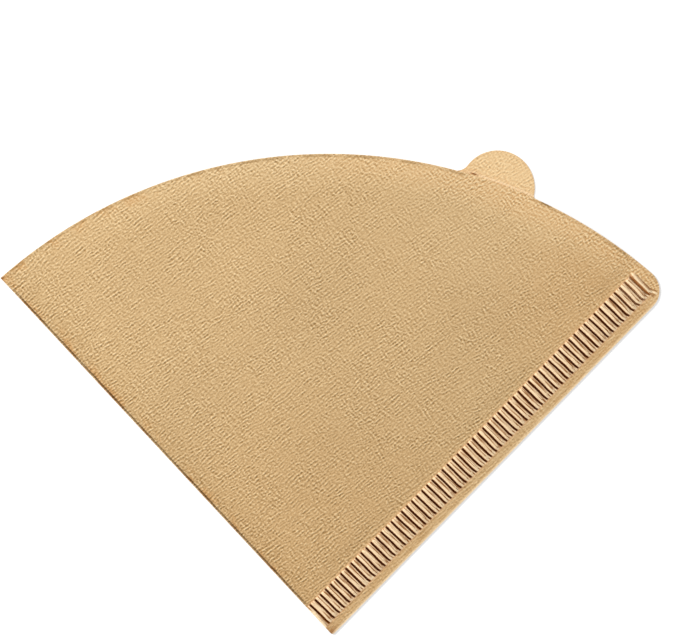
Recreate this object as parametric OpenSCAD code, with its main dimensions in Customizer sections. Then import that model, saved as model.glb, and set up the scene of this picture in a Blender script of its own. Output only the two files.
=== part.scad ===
// Flat-folded cone coffee filter: one sheet of crepe paper, creased along one straight edge
// and crimped along the other, with a round pull tab on the back ply.
// It lies on its back ply, with the tip towards -Y, the mouth towards +Y and the ribs upwards.

/* [Paper] */
// Thickness of one ply
ply = 0.2; // [0.14:0.01:0.3]

/* [Sector] */
// Distance from the tip to the rim along the middle of the sector
slant = 125; // [100:1:150]
// Angle between the folded edge and the seam edge
sector_angle = 87.2; // [80:0.1:95]
// Radius of the rim's arc
rim_r = 129.3; // [115:0.1:160]
// How far the rim's centre lies off the middle of the sector, towards the fold
rim_skew = 1; // [0:0.1:3]
// Radius of the corner between the rim and the seam edge
corner_r = 6; // [3:0.1:10]
// Radius of the tip, between the folded edge and the seam edge
tip_r = 0.7; // [0.4:0.1:2]

/* [Mouth] */
// Height of the gap between the plies in the middle of the mouth
mouth_gap = 2; // [0.8:0.1:3.5]
// Width of the strip that is pressed flat beside the folded edge
crease_w = 0.8; // [0.5:0.1:2]

/* [Pull tab] */
// Radius of the tab
tab_r = 9.7; // [6:0.1:13]
// How far the tab's centre lies inside the rim
tab_inset = 1; // [0.4:0.1:3]
// Angle of the tab from the middle of the sector, towards the seam
tab_angle = 19.3; // [-20:0.1:25]
// Radius of the blend at the foot of the tab, on the fold's side
tab_foot_fold_r = 3.4; // [1:0.1:5]
// Radius of the blend at the foot of the tab, on the seam's side
tab_foot_seam_r = 0.9; // [0.6:0.1:5]

/* [Crimped seam] */
// Plain margin between the seam edge and the ribs
seam_margin = 2.6; // [1.5:0.1:5]
// Length of one rib
rib_len = 7.3; // [5:0.1:12]
// Distance from one rib to the next
rib_pitch = 1.89; // [1.7:0.01:3]
// Width of a rib at the face of the paper
rib_w = 1.35; // [0.9:0.05:1.5]
// Height of a rib above the face of the paper
rib_h = 0.38; // [0.2:0.01:0.5]
// Distance along the seam from the tip to the first rib, which the fold cuts through
rib_start = 0.46; // [0.3:0.01:0.6]
// Plain stretch between the last rib and the rim
rib_rim_gap = 3.4; // [2.5:0.1:8]
// Plain strip between the ribs and the pocket
seam_land = 0.8; // [0.4:0.1:3]

/* [Hidden] */

// Two plies pressed together
pressed = 2 * ply;
// How far a blend runs into the edges that it joins, so that it meets them cleanly
blend_bite = 0.03;
// How far a cut runs past what it cuts
overrun = 1;
// A length past every edge of the sheet
reach = 2 * slant;
// How much fuller a rib's rounded end is than the rib, as a share of its radius
rib_end_share = 1.02;

half_angle = sector_angle / 2;
// Angle of the seam edge from the square to the fold
seam_lean = 90 - sector_angle;
seam_w = seam_margin + rib_len + seam_land;

// A point turned about the tip
function turned(p, angle) = [
  p.x * cos(angle) - p.y * sin(angle),
  p.x * sin(angle) + p.y * cos(angle)
];

// The rim's centre from the tip: with the sector's middle along +Y, the fold along +Y,
// and the seam along +X
rim_mid = [-rim_skew, slant - sqrt(pow(rim_r, 2) - pow(rim_skew, 2))];
rim_fold = turned(rim_mid, -half_angle);
rim_seam = turned(rim_fold, -seam_lean);

// Length of the seam edge to the rim, and the ribs that fit on it
seam_len = rim_seam.x + sqrt(pow(rim_r, 2) - pow(rim_seam.y, 2));
rib_count = floor((seam_len - rib_rim_gap - rib_start) / rib_pitch) + 1;

// Centre of the corner's arc, with the seam along +X
corner_y = corner_r - blend_bite;
corner_d = rim_r - corner_r + blend_bite;
corner_seam = [rim_seam.x + sqrt(pow(corner_d, 2) - pow(corner_y - rim_seam.y, 2)), corner_y];

// Centre of the tip's arc, with the fold along +Y
tip_x = tip_r - blend_bite - ply;
tip_c = [tip_x, (tip_r - blend_bite + tip_x * sin(seam_lean)) / cos(seam_lean)];

// The tab's centre from the rim's centre, along +Y
tab_c = [0, rim_r - tab_inset];

// Tip of the pocket, with the fold along +Y
pocket_tip = [crease_w, (seam_w + crease_w * sin(seam_lean)) / cos(seam_lean)];

// The bowed ply is part of a cone. Its axis leans back by bow_tilt, so that two of its straight
// lines lie level, along the crease and the seam, and the one midway rises by bow_rise.
pocket_len = norm(turned([0, slant], -half_angle) - pocket_tip);
bow_rise = atan(mouth_gap / pocket_len);
bow_slope = atan2(cos(half_angle) * sin(bow_rise), 1 - cos(half_angle) * cos(bow_rise));
bow_tilt = bow_slope + bow_rise;

// A rib is a round bar with rounded ends, sunk until it stands rib_h out of the paper
rib_r = (pow(rib_w / 2, 2) + pow(rib_h, 2)) / (2 * rib_h);
rib_straight = rib_len - rib_w;

// Corners of the sheet's box from the tip, with the sector's middle along +Y
fold_end = [-ply, rim_fold.y + sqrt(pow(rim_r, 2) - pow(ply + rim_fold.x, 2))];
box_left = turned(fold_end, half_angle).x;
box_right = turned(corner_seam, half_angle + seam_lean).x + corner_r;
box_near = turned(tip_c, half_angle).y - tip_r;
box_far = max(rim_mid.y + (rim_r - tab_inset) * cos(tab_angle) + tab_r, rim_mid.y + rim_r);

// Everything on the far side of a level, over the whole sheet
module above(level) {
  translate([-reach, -reach, level]) cube([2 * reach, 2 * reach, reach]);
}

// What the rounded corner takes away, with the seam along +X
module corner_waste() {
  outwards = (corner_seam - rim_seam) / norm(corner_seam - rim_seam);
  difference() {
    polygon([
      corner_seam,
      [corner_seam.x, -overrun],
      [seam_len + overrun, -overrun],
      rim_seam + outwards * (rim_r + overrun)
    ]);
    translate(corner_seam) circle(r = corner_r, $fn = 96);
  }
}

// What the rounded tip takes away, with the fold along +Y
module tip_waste() {
  outwards = [sin(seam_lean), -cos(seam_lean)];
  difference() {
    polygon([
      tip_c,
      [-ply - overrun, tip_c.y],
      [-ply - overrun, -overrun],
      tip_c + outwards * (tip_r + overrun)
    ]);
    translate(tip_c) circle(r = tip_r, $fn = 48);
  }
}

// Outline inside the rim, the seam edge, their corner and the tip. The fold closes its other side.
module trim_outline() {
  difference() {
    intersection() {
      translate(rim_fold) circle(r = rim_r, $fn = 360);
      rotate(seam_lean) translate([-reach, 0]) square([2 * reach, reach]);
    }
    rotate(seam_lean) corner_waste();
    tip_waste();
  }
}

// Both plies pressed flat, with the folded edge as a half round along +Y
module pressed_sheet() {
  translate([0, -reach, 0]) cube([reach, 2 * reach, pressed]);
  translate([0, reach, ply]) rotate([90, 0, 0]) linear_extrude(height = 2 * reach) {
    difference() {
      circle(r = ply, $fn = 48);
      translate([0, -pressed]) square(2 * pressed);
    }
  }
}

// The cone that the front ply bows along, as a solid below its face, with the tip at a level
module bow_cone(level) {
  depth = reach * tan(bow_slope);
  translate([pocket_tip.x, pocket_tip.y, level])
    rotate([0, 0, 90 - half_angle])
    rotate([0, -bow_tilt, 0])
    translate([0, 0, -depth])
    cylinder(h = depth, r1 = reach, r2 = 0, $fn = 360);
}

// One rib as a whole bar along +Y, with its top at a level
module rib_bar(level) {
  translate([0, rib_len / 2, level - rib_r]) rotate([90, 0, 0]) rotate_extrude($fn = 36) {
    intersection() {
      translate([0, -rib_len]) square([rib_len, 2 * rib_len]);
      union() {
        square([2 * rib_r, rib_straight], center = true);
        for (end = [-1, 1]) {
          translate([0, end * rib_straight / 2]) circle(r = rib_r * rib_end_share, $fn = 36);
        }
      }
    }
  }
}

// The row of ribs across the seam, from one rib on, with the fold along +Y
module rib_row(first, level) {
  rotate(seam_lean) for (i = [first : rib_count - 1]) {
    translate([rib_start + i * rib_pitch, seam_margin, 0]) rib_bar(level);
  }
}

// Ribs raised on the front, and the first of them cut off just inside the fold
module raised_ribs() {
  intersection() {
    rib_row(0, pressed + rib_h);
    translate([ply / 2, -reach, ply]) cube([reach, 2 * reach, reach]);
  }
}

// The blend at one foot of the tab, on the fold's side (-1) or the seam's side (1)
module tab_foot(side, foot_r) {
  rim_d = rim_r + foot_r - blend_bite;
  tab_d = tab_r + foot_r - blend_bite;
  foot_y = (pow(rim_d, 2) - pow(tab_d, 2) + pow(tab_c.y, 2)) / (2 * tab_c.y);
  foot = [side * sqrt(pow(rim_d, 2) - pow(foot_y, 2)), foot_y];
  difference() {
    polygon([foot, foot * (rim_r - foot_r) / rim_d, tab_c]);
    translate(foot) circle(r = foot_r, $fn = 48);
  }
}

// The tab's outline from the rim's centre, along +Y
module tab_outline() {
  translate(tab_c) circle(r = tab_r, $fn = 120);
  tab_foot(-1, tab_foot_fold_r);
  tab_foot(1, tab_foot_seam_r);
}

// Back ply, folded edge and bowed front ply, trimmed to the outline, with the mouth open
module folded_sheet() {
  intersection() {
    linear_extrude(height = reach) trim_outline();
    difference() {
      union() {
        pressed_sheet();
        intersection() {
          bow_cone(pressed);
          above(pressed);
        }
      }
      intersection() {
        bow_cone(ply);
        above(ply);
      }
    }
  }
}

module filter_paper() {
  color([0.81, 0.68, 0.5])
    translate([-(box_left + box_right) / 2, -(box_near + box_far) / 2, 0])
    rotate(half_angle)
    difference() {
      union() {
        folded_sheet();
        raised_ribs();
        linear_extrude(height = ply) translate(rim_fold) rotate(-half_angle - tab_angle) tab_outline();
      }
      rib_row(1, rib_h);
    }
}

filter_paper();
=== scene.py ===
"""Looks of a flat-folded cone coffee filter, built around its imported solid.

The filter is one sheet of unbleached crepe paper: a back ply with a round pull tab, a bowed front ply, a folded edge
and a crimped seam. Its surface is one closed mesh. It is worked out in millimetres on a plan whose first axis runs
from the tip along the seam edge, and whose second axis runs square to it, into the sheet.
"""

import logging
import math
from dataclasses import dataclass, field
from enum import Enum
from typing import Any, Mapping, Optional, Sequence, Union

import bpy
import numpy as np
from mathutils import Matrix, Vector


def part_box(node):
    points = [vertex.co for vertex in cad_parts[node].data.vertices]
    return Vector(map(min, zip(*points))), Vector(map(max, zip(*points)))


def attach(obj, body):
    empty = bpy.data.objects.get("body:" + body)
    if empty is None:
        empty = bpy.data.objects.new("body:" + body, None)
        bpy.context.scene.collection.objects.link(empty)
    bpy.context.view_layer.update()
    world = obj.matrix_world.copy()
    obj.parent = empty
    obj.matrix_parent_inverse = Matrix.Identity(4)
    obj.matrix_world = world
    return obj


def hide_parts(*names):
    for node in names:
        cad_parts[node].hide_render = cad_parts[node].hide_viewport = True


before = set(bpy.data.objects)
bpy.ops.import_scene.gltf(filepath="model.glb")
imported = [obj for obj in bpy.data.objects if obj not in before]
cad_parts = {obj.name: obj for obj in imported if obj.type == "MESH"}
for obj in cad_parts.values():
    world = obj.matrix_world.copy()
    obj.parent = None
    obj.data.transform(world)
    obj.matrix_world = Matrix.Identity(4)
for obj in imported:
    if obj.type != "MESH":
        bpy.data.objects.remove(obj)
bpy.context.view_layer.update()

log = logging.getLogger("cone_filter")

MM = 0.001
NODE = "filter_paper"
BODY = "root"
# The picture's width and height, in pixels.
PICTURE = (679, 636)
QUARTER_TURN = 90.0
# The middle of a noise, and of a whole smooth step.
MIDDLE = 0.5

Array = np.ndarray
Colour = tuple[float, float, float]
Socket = bpy.types.NodeSocket


class Winding(Enum):
    """Whether a patch's faces look the way its rows and columns turn, or the other way."""

    KEPT = 1
    TURNED = -1


def turned(points: Array, degrees: float) -> Array:
    """Turns plan points about the origin: each is multiplied by the matrix of the angle's cosine and sine.

    Args:
        points: Points whose last axis holds their two coordinates.
        degrees: The turn, anticlockwise.

    Returns:
        The turned points, in the same layout.
    """
    c, s = math.cos(math.radians(degrees)), math.sin(math.radians(degrees))
    x, y = points[..., 0], points[..., 1]
    return np.stack([c * x - s * y, s * x + c * y], axis=-1)


def eased(values: Array, low: float, high: float) -> Array:
    """The smooth step 3t^2 - 2t^3, where t runs from 0 at low to 1 at high.

    Args:
        values: The values to ease.
        low: Where the step starts.
        high: Where it ends.

    Returns:
        Values from 0 to 1.
    """
    t = np.clip((values - low) / (high - low), 0.0, 1.0)
    return t * t * (3.0 - 2.0 * t)


def arc(centre: Array, radius: float, start: float, end: float, steps: int) -> Array:
    """Points on a circle's arc: the centre plus the radius along each angle, evenly spaced.

    Args:
        centre: The circle's centre.
        radius: Its radius.
        start: The first angle, in radians.
        end: The last angle, in radians.
        steps: How many stretches the arc has.

    Returns:
        steps + 1 plan points.
    """
    angle = np.linspace(start, end, steps + 1)
    return centre + radius * np.stack([np.cos(angle), np.sin(angle)], axis=-1)


def heading(start: Array, end: Array) -> float:
    """The angle, in radians, of the line from one plan point to another."""
    return math.atan2(end[1] - start[1], end[0] - start[0])


@dataclass(frozen=True)
class SheetSizes:
    """Sizes of the folded sheet, in millimetres and degrees, as the part's source gives them."""

    ply: float = 0.2
    slant: float = 125.0
    sector_angle: float = 87.2
    rim_r: float = 129.3
    rim_skew: float = 1.0
    corner_r: float = 6.0
    tip_r: float = 0.7
    mouth_gap: float = 2.0
    crease_w: float = 0.8
    tab_r: float = 9.7
    tab_inset: float = 1.0
    tab_angle: float = 19.3
    tab_foot_fold_r: float = 3.4
    tab_foot_seam_r: float = 0.9
    seam_margin: float = 2.6
    rib_len: float = 7.3
    rib_pitch: float = 1.89
    rib_w: float = 1.35
    rib_h: float = 0.38
    rib_start: float = 0.46
    rib_count: int = 65
    seam_land: float = 0.8

    @property
    def pressed(self) -> float:
        """Thickness of the two plies pressed together."""
        return 2 * self.ply

    @property
    def seam_w(self) -> float:
        """Width of the whole seam, from its edge to the pocket."""
        return self.seam_margin + self.rib_len + self.seam_land

    @property
    def rib_r(self) -> float:
        """Radius of the round bar that a rib is part of."""
        return ((self.rib_w / 2) ** 2 + self.rib_h**2) / (2 * self.rib_h)

    @property
    def last_rib(self) -> float:
        """Where the last rib lies along the seam."""
        return self.rib_start + (self.rib_count - 1) * self.rib_pitch


class SheetPlan:
    """The sheet's outline and heights on the seam plan, and the way from there to the row frame."""

    # Where a rib rises out of the margin at its outer end, from the margin's inner side on.
    RIB_RISE = (-0.1, 1.7)
    # A distance that counts as none.
    NO_DISTANCE = 0.0002

    def __init__(self, sizes: SheetSizes) -> None:
        """Works out the fixed points of the plan.

        Args:
            sizes: The sheet's sizes.
        """
        s = sizes
        self.sizes = s
        self.fold_angle = math.radians(s.sector_angle)
        self.half = s.sector_angle / 2
        self.seam_turn = QUARTER_TURN - self.half
        self.fold_dir = np.array([math.cos(self.fold_angle), math.sin(self.fold_angle)])
        self.fold_in = np.array([math.sin(self.fold_angle), -math.cos(self.fold_angle)])
        rim_mid = np.array([-s.rim_skew, s.slant - math.sqrt(s.rim_r**2 - s.rim_skew**2)])
        self.rim_c = turned(rim_mid, -self.seam_turn)
        pocket_a = (s.crease_w + s.seam_w * self.fold_dir[0]) / self.fold_in[0]
        self.pocket_tip = np.array([pocket_a, s.seam_w])
        corner_d = s.rim_r - s.corner_r
        corner_a = self.rim_c[0] + math.sqrt(corner_d**2 - (s.corner_r - self.rim_c[1]) ** 2)
        self.corner_c = np.array([corner_a, s.corner_r])
        tip_a = (s.tip_r - s.ply + s.tip_r * self.fold_dir[0]) / self.fold_in[0]
        self.tip_c = np.array([tip_a, s.tip_r])
        self.tab_lean = math.radians(self.half - s.tab_angle)
        tab_out = np.array([math.cos(self.tab_lean), math.sin(self.tab_lean)])
        self.tab_c = self.rim_c + (s.rim_r - s.tab_inset) * tab_out
        self.tip = self._tip_in_row()
        self._set_bow()

    def _tip_in_row(self) -> Array:
        """Finds the tip in the row frame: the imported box's left and near sides, less the outline's own reach.

        Returns:
            The tip, in millimetres.
        """
        low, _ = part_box(NODE)
        left = turned(self.on_fold_line(-self.sizes.ply, self.rim_reach(-self.sizes.ply)), self.seam_turn)
        near = turned(self.tip_c, self.seam_turn)[1] - self.sizes.tip_r
        return np.array([low.x / MM - left[0], low.y / MM - near])

    def _set_bow(self) -> None:
        """Sets the leaning cone that the front ply bows along.

        Two of its straight lines lie level, along the pocket's two sides, and the one midway rises to the mouth's gap.
        """
        middle = turned(np.array([0.0, self.sizes.slant]), -self.seam_turn) - self.pocket_tip
        rise = math.atan(self.sizes.mouth_gap / math.hypot(*middle))
        c = math.cos(math.radians(self.half))
        self.bow_slope = math.atan2(c * math.sin(rise), 1 - c * math.cos(rise))
        self.bow_tilt = self.bow_slope + rise

    def to_row(self, plan: Array) -> Array:
        """Turns plan points into the row frame, about the tip, in millimetres."""
        return turned(plan, self.seam_turn) + self.tip

    def on_fold_line(self, inset: Union[float, Array], along: Union[float, Array]) -> Array:
        """Plan points at a distance inside the folded edge and a distance along it from the tip.

        Args:
            inset: Distances square to the fold, into the sheet.
            along: Distances along the fold.

        Returns:
            The plan points.
        """
        inset, along = np.asarray(inset, float), np.asarray(along, float)
        return inset[..., None] * self.fold_in + along[..., None] * self.fold_dir

    def inside_fold(self, plan: Array) -> Array:
        """How far plan points lie inside the folded edge."""
        return plan @ self.fold_in

    def rounded_tip(self, plan: Array) -> Array:
        """Draws the sharp corner at the tip in to its arc.

        A point between the two lines from the arc's centre square to the edges is moved along its own line from the
        centre. Its distance becomes the greater of its distances towards the fold and towards the seam edge, so that
        the edges turn into the arc.

        Args:
            plan: Plan points of the sharp sheet.

        Returns:
            The plan points of the rounded sheet.
        """
        off = plan - self.tip_c
        away = np.hypot(off[..., 0], off[..., 1])
        toward = np.maximum(-(off @ self.fold_in), -off[..., 1])
        between = (off @ self.fold_dir < 0.0) & (off[..., 0] < 0.0)
        share = np.where(between, toward / np.maximum(away, self.NO_DISTANCE), 1.0)
        return self.tip_c + off * share[..., None]

    def rim_reach(self, inset: Union[float, Array]) -> Array:
        """How far along the fold the rim lies, on lines at a distance inside the fold.

        Args:
            inset: Distances inside the fold.

        Returns:
            Distances along the fold: the rim centre's own, plus the other side of a right triangle on the radius.
        """
        across = np.asarray(inset, float) - self.rim_c @ self.fold_in
        return self.rim_c @ self.fold_dir + np.sqrt(self.sizes.rim_r**2 - across**2)

    def seam_reach(self, inset: Array) -> Array:
        """How far along the seam the rim, or the rounded corner before it, lies.

        Args:
            inset: Distances inside the seam edge.

        Returns:
            Distances along the seam, from the corner's circle up to where it touches the rim, and from the rim above.
        """
        s = self.sizes
        rim = self.rim_c[0] + np.sqrt(s.rim_r**2 - (inset - self.rim_c[1]) ** 2)
        corner = self.corner_c[0] + np.sqrt(np.maximum(s.corner_r**2 - (inset - self.corner_c[1]) ** 2, 0.0))
        outward = self.corner_c - self.rim_c
        touch = self.corner_c[1] + s.corner_r * outward[1] / math.hypot(*outward)
        return np.where(inset < touch, corner, rim)

    def rim_ends(self) -> tuple[float, float]:
        """Finds where the rim meets the pocket's two sides.

        Returns:
            The angles about the rim's centre on the seam's side and on the fold's side, in radians.
        """
        s = self.sizes
        seam_end = np.array([float(self.seam_reach(np.array(s.seam_w))), s.seam_w])
        fold_end = self.on_fold_line(s.crease_w, self.rim_reach(s.crease_w))
        return heading(self.rim_c, seam_end), heading(self.rim_c, fold_end)

    def front_rim(self, steps: int) -> Array:
        """The front ply's rim between the pocket's sides, as one arc.

        Args:
            steps: How many stretches the arc has.

        Returns:
            Plan points from the seam to the fold.
        """
        start, end = self.rim_ends()
        return arc(self.rim_c, self.sizes.rim_r, start, end, steps)

    def back_rim(self, rim_steps: tuple[int, int], foot_steps: tuple[int, int], tab_steps: int) -> Array:
        """The back ply's rim: an arc, a foot of the tab, the tab, its other foot and an arc, each tangent to the next.

        A foot's circle touches the rim and the tab from outside, so its centre is the radii's sum from both centres.

        Args:
            rim_steps: Stretches of the rim's arc before and after the tab.
            foot_steps: Stretches of the foot on the seam's side and on the fold's side.
            tab_steps: Stretches of the tab's arc.

        Returns:
            Plan points from the seam to the fold.
        """
        s = self.sizes
        start, end = self.rim_ends()
        reach = s.rim_r - s.tab_inset
        feet = []
        for side, foot_r in ((-1, s.tab_foot_seam_r), (1, s.tab_foot_fold_r)):
            rim_d, tab_d = s.rim_r + foot_r, s.tab_r + foot_r
            off = math.acos((rim_d**2 + reach**2 - tab_d**2) / (2 * rim_d * reach))
            angle = self.tab_lean + side * off
            feet.append(self.rim_c + rim_d * np.array([math.cos(angle), math.sin(angle)]))
        seam_foot, fold_foot = feet
        seam_touch, fold_touch = heading(self.rim_c, seam_foot), heading(self.rim_c, fold_foot)
        tab_start, tab_end = heading(self.tab_c, seam_foot), heading(self.tab_c, fold_foot)
        arcs = [
            arc(self.rim_c, s.rim_r, start, seam_touch, rim_steps[0]),
            arc(seam_foot, s.tab_foot_seam_r, seam_touch + math.pi, tab_start + math.pi, foot_steps[0]),
            arc(self.tab_c, s.tab_r, tab_start, tab_end, tab_steps),
            arc(fold_foot, s.tab_foot_fold_r, tab_end - math.pi, fold_touch - math.pi, foot_steps[1]),
            arc(self.rim_c, s.rim_r, fold_touch, end, rim_steps[1]),
        ]
        return np.concatenate([arcs[0]] + [a[1:] for a in arcs[1:]])

    def by_tab(self, across: float) -> tuple[list[float], list[float]]:
        """A plan point on the rim beside the tab's middle, and the rim's direction there.

        Args:
            across: How far the point lies from the tab's middle, along the rim towards the seam.

        Returns:
            The point, which is the rim's centre plus its radius along an angle, and the direction square to that.
        """
        angle = self.tab_lean - across / self.sizes.rim_r
        out = np.array([math.cos(angle), math.sin(angle)])
        return (self.rim_c + self.sizes.rim_r * out).tolist(), [-float(out[1]), float(out[0])]

    def bow_height(self, plan: Array) -> Array:
        """How far the front ply has risen from the back ply.

        With u and v the distances from the pocket's tip along the sector's middle and across it, the leaning cone's
        height z solves (z cos(tilt) - u sin(tilt))^2 = (u^2 + v^2 + z^2) sin(slope)^2, and its lower root is taken.

        Args:
            plan: Plan points.

        Returns:
            Heights, in millimetres.
        """
        uv = turned(plan - self.pocket_tip, -self.half)
        u, v = uv[..., 0], uv[..., 1]
        sin_t, cos_t, sin_s = math.sin(self.bow_tilt), math.cos(self.bow_tilt), math.sin(self.bow_slope)
        lead = cos_t**2 - sin_s**2
        middle = u * sin_t * cos_t
        rest = (u * sin_t) ** 2 - (u**2 + v**2) * sin_s**2
        return (middle - np.sqrt(np.maximum(middle**2 - lead * rest, 0.0))) / lead

    def rib_height(self, plan: Array, first: int) -> Array:
        """How far the crimp lifts the paper: a round bar's arc over the distance to the nearest rib's middle line.

        At its inner end the rib is round, and at its outer end it fades into the margin.

        Args:
            plan: Plan points.
            first: The first rib that counts.

        Returns:
            Heights, in millimetres, and zero between the ribs.
        """
        s = self.sizes
        a, b = plan[..., 0], plan[..., 1]
        rib = np.clip(np.round((a - s.rib_start) / s.rib_pitch), first, s.rib_count - 1)
        across = a - (s.rib_start + rib * s.rib_pitch)
        beyond = np.maximum(b - (s.seam_margin + s.rib_len - s.rib_w / 2), 0.0)
        away = np.minimum(np.hypot(across, beyond), s.rib_r)
        height = np.maximum(np.sqrt(s.rib_r**2 - away**2) - (s.rib_r - s.rib_h), 0.0)
        return height * eased(b - s.seam_margin, *self.RIB_RISE)


@dataclass(frozen=True)
class CrepeRelief:
    """The sheet's broad unevenness: plane waves whose crests run along the crepe, with seeded phases."""

    seed: int = 11
    waves: int = 36
    crest_angle: float = 33.0
    spread: float = 26.0
    short_wave: float = 3.0
    long_wave: float = 9.0
    depth: float = 0.008
    sway_waves: int = 7
    sway_length: float = 46.0
    sway_spread: tuple[float, float] = (0.7, 1.6)
    sway_depth: float = 0.11

    def height(self, row: Array) -> Array:
        """Sums the plane waves: each is a depth times the sine of the distance along its own direction, plus a phase.

        Args:
            row: Points in the row frame's plan, in millimetres.

        Returns:
            Heights about zero, in millimetres.
        """
        rng = np.random.default_rng(self.seed)
        across = np.radians(self.crest_angle + QUARTER_TURN + self.spread * rng.uniform(-1.0, 1.0, self.waves))
        length = self.short_wave * (self.long_wave / self.short_wave) ** rng.uniform(0.0, 1.0, self.waves)
        phase = rng.uniform(0.0, 2 * math.pi, self.waves)
        fine = self._sum(row, across, length, phase) * self.depth
        across = rng.uniform(0.0, 2 * math.pi, self.sway_waves)
        length = self.sway_length * rng.uniform(*self.sway_spread, self.sway_waves)
        phase = rng.uniform(0.0, 2 * math.pi, self.sway_waves)
        return fine + self._sum(row, across, length, phase) * self.sway_depth

    @staticmethod
    def _sum(row: Array, across: Array, length: Array, phase: Array) -> Array:
        """Adds up unit waves, and divides by the root of half their number, so that the sum spreads by about one.

        Args:
            row: Points in the row frame's plan.
            across: The waves' directions, in radians.
            length: Their lengths.
            phase: Their phases, in radians.

        Returns:
            The sum at each point.
        """
        turn = 2 * math.pi / length
        waves = zip(turn * np.cos(across), turn * np.sin(across), phase)
        total = sum(np.sin(row[..., 0] * kx + row[..., 1] * ky + p) for kx, ky, p in waves)
        return total / math.sqrt(len(phase) / 2)


class Skin:
    """Collects the points and faces of one closed surface, patch by patch, with shared edges."""

    def __init__(self) -> None:
        """Starts with no points and no faces."""
        self._points: list[Array] = []
        self._faces: list[list[int]] = []
        self._count = 0

    def add(self, points: Array) -> Array:
        """Adds points and numbers them.

        Args:
            points: Points whose last axis holds their three coordinates, in millimetres.

        Returns:
            Their numbers, in the same layout.
        """
        flat = points.reshape(-1, 3)
        index = np.arange(self._count, self._count + len(flat)).reshape(points.shape[:-1])
        self._points.append(flat)
        self._count += len(flat)
        return index

    def faces(self, corners: Sequence[Array], winding: Winding) -> None:
        """Adds one face for each place in several equal lists of corners.

        Args:
            corners: Point numbers of the first corners, of the second ones and so on.
            winding: Whether the corners' order is kept.
        """
        order = np.stack([np.ravel(c) for c in corners], axis=-1)[:, :: winding.value]
        self._faces.extend(order.tolist())

    def quads(self, index: Array, winding: Winding) -> None:
        """Fills a grid of points with four-sided faces.

        Args:
            index: Point numbers in rows and columns.
            winding: KEPT if a row's step crossed with a column's step looks out of the sheet.
        """
        self.faces([index[:-1, :-1], index[1:, :-1], index[1:, 1:], index[:-1, 1:]], winding)

    def fan(self, hub: int, ring: Array, winding: Winding) -> None:
        """Fills the space between one point and a line of points with triangles.

        Args:
            hub: The point's number.
            ring: Point numbers along the line.
            winding: Whether hub, point, next point looks out of the sheet.
        """
        self.faces([np.full(len(ring) - 1, hub), ring[:-1], ring[1:]], winding)

    def zipped(self, fine: Array, coarse: Array, winding: Winding) -> None:
        """Joins a finely spaced line to one with fewer points: each coarse stretch takes an equal share of fine ones.

        Args:
            fine: Point numbers along the fine line.
            coarse: Point numbers along the coarse line, whose stretches divide the fine ones evenly.
            winding: KEPT if along the fine line crossed with the way to the coarse one looks out of the sheet.
        """
        share = (len(fine) - 1) // (len(coarse) - 1)
        place = np.arange(len(fine) - 1)
        near = (place + share // 2) // share
        self.faces([fine[:-1], fine[1:], coarse[near]], winding)
        turn = np.arange(len(coarse) - 1) * share + (share - share // 2)
        self.faces([coarse[:-1], fine[turn], coarse[1:]], winding)

    def mesh(self, name: str) -> bpy.types.Mesh:
        """Makes the collected surface a mesh in metres.

        Args:
            name: The mesh's name.

        Returns:
            The mesh.
        """
        mesh = bpy.data.meshes.new(name)
        mesh.from_pydata((np.concatenate(self._points) * MM).tolist(), [], self._faces)
        mesh.validate()
        mesh.update()
        return mesh


def raised(plan: Array, height: Union[float, Array]) -> Array:
    """Plan points with a height as their third coordinate."""
    return np.concatenate([plan, np.broadcast_to(height, plan.shape[:-1])[..., None]], axis=-1)


def placed(name: str, data: bpy.types.ID) -> bpy.types.Object:
    """Makes an object of some data and links it into the scene.

    Args:
        name: The object's name.
        data: Its mesh, light or camera.

    Returns:
        The object, at the origin.
    """
    thing = bpy.data.objects.new(name, data)
    bpy.context.scene.collection.objects.link(thing)
    return thing


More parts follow.
